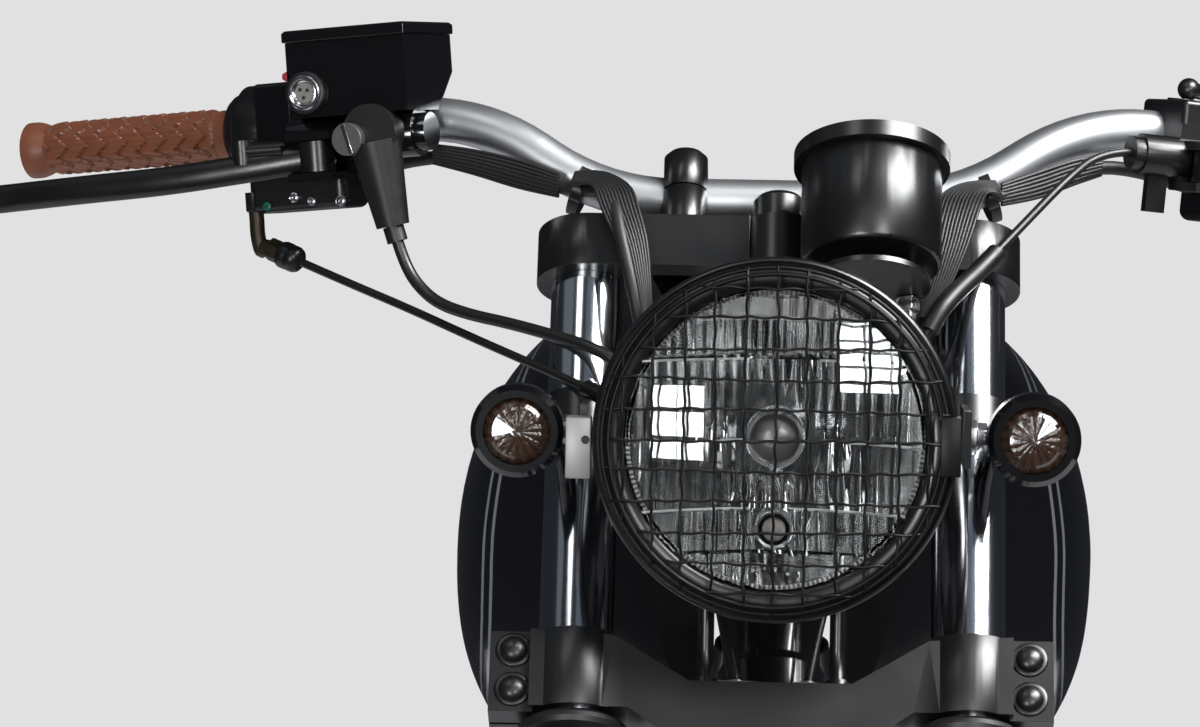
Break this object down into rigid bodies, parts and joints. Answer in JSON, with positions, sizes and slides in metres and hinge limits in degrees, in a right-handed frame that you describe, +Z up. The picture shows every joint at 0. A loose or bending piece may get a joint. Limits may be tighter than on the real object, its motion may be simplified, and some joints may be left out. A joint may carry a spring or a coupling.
{
  "type": "motorcycle front section",
  "caption": "Motorcycle front section: steering head, backbone and fuel tank with the complete raked fork, handlebar, controls and round caged headlamp.",
  "frame": {"origin": "middle of the front engine bolt, between the two down tubes", "axes": "+X to the rider's left along the engine bolt, -Y forward, +Z up"},
  "size_m": [0.9968, 1.0887, 0.8155],
  "materials": {
    "frame_paint": "gloss black powder coat",
    "tank_paint": "gloss black paint with twin grey pinstripes",
    "black_metal": "satin black",
    "satin_black": "satin black coat on cast and turned metal",
    "chrome": "polished hard chrome",
    "bar_steel": "satin brushed tube",
    "bare_steel": "zinc plated",
    "bright_alloy": "bright",
    "black_rubber": "matt",
    "brown_rubber": "saddle brown moulded rubber with a scale pattern",
    "clear_glass": "clear, fluted",
    "mirror_metal": "aluminised reflector",
    "smoked_plastic": "smoked amber, faceted",
    "dial_face": "black dial with plain white figures",
    "black_plastic": "moulded",
    "brass_tube": "bronzed tube"
  },
  "bodies": {
    "frame": {"backbone_tube": "frame_paint", "down_tube_left": "frame_paint", "down_tube_right": "frame_paint", "fuel_tank": "tank_paint", "fuel_tap": "bright_alloy", "head_bearings": "bare_steel", "head_gusset": "frame_paint", "head_tube": "frame_paint", "rear_bolt_sleeve": "frame_paint", "tank_cap": "black_metal", "tank_mounts": "black_rubber"},
    "steering": {"bar_risers": "satin_black", "brake_hose": "black_rubber", "brake_hose_boot": "black_rubber", "brake_lever": "satin_black", "cable_guide": "bare_steel", "cable_ties": "black_plastic", "clutch_cable": "black_rubber", "clutch_lever": "satin_black", "clutch_perch": "satin_black", "fork_caps": "satin_black", "fork_gaiters": "black_rubber", "fork_slider_left": "satin_black", "fork_slider_right": "satin_black", "fork_tubes": "chrome", "grip_left": "brown_rubber", "grip_right": "brown_rubber", "handlebar": "bar_steel", "ignition_barrel": "satin_black", "indicator_housings": "satin_black", "indicator_lenses": "smoked_plastic", "lamp_brackets": "bare_steel", "lamp_bulb_shield": "chrome", "lamp_grille": "satin_black", "lamp_lens": "clear_glass", "lamp_reflector": "mirror_metal", "lamp_rim": "satin_black", "lamp_shell": "satin_black", "lamp_stays": "satin_black", "loom_left": "black_plastic", "loom_right": "black_plastic", "lower_yoke": "satin_black", "master_cylinder": "satin_black", "pod_bezel": "satin_black", "pod_body": "satin_black", "pod_bracket": "satin_black", "pod_dial": "dial_face", "pod_glass": "clear_glass", "reservoir_cap": "satin_black", "riser_caps": "satin_black", "sight_glass": "bright_alloy", "steering_stem": "bare_steel", "stem_nut": "bare_steel", "switch_housing_left": "black_plastic", "switch_housing_right": "black_plastic", "throttle_cable": "black_rubber", "throttle_elbow": "brass_tube", "upper_yoke": "satin_black", "yoke_union": "bare_steel"}
  },
  "joints": [
    {"name": "steering", "type": "hinge", "parent": "frame", "child": "steering", "pos_m": [0, -0.095, 0.415], "axis": [0, 0.4772, 0.8788], "range_deg": [-35, 35]}
  ]
}
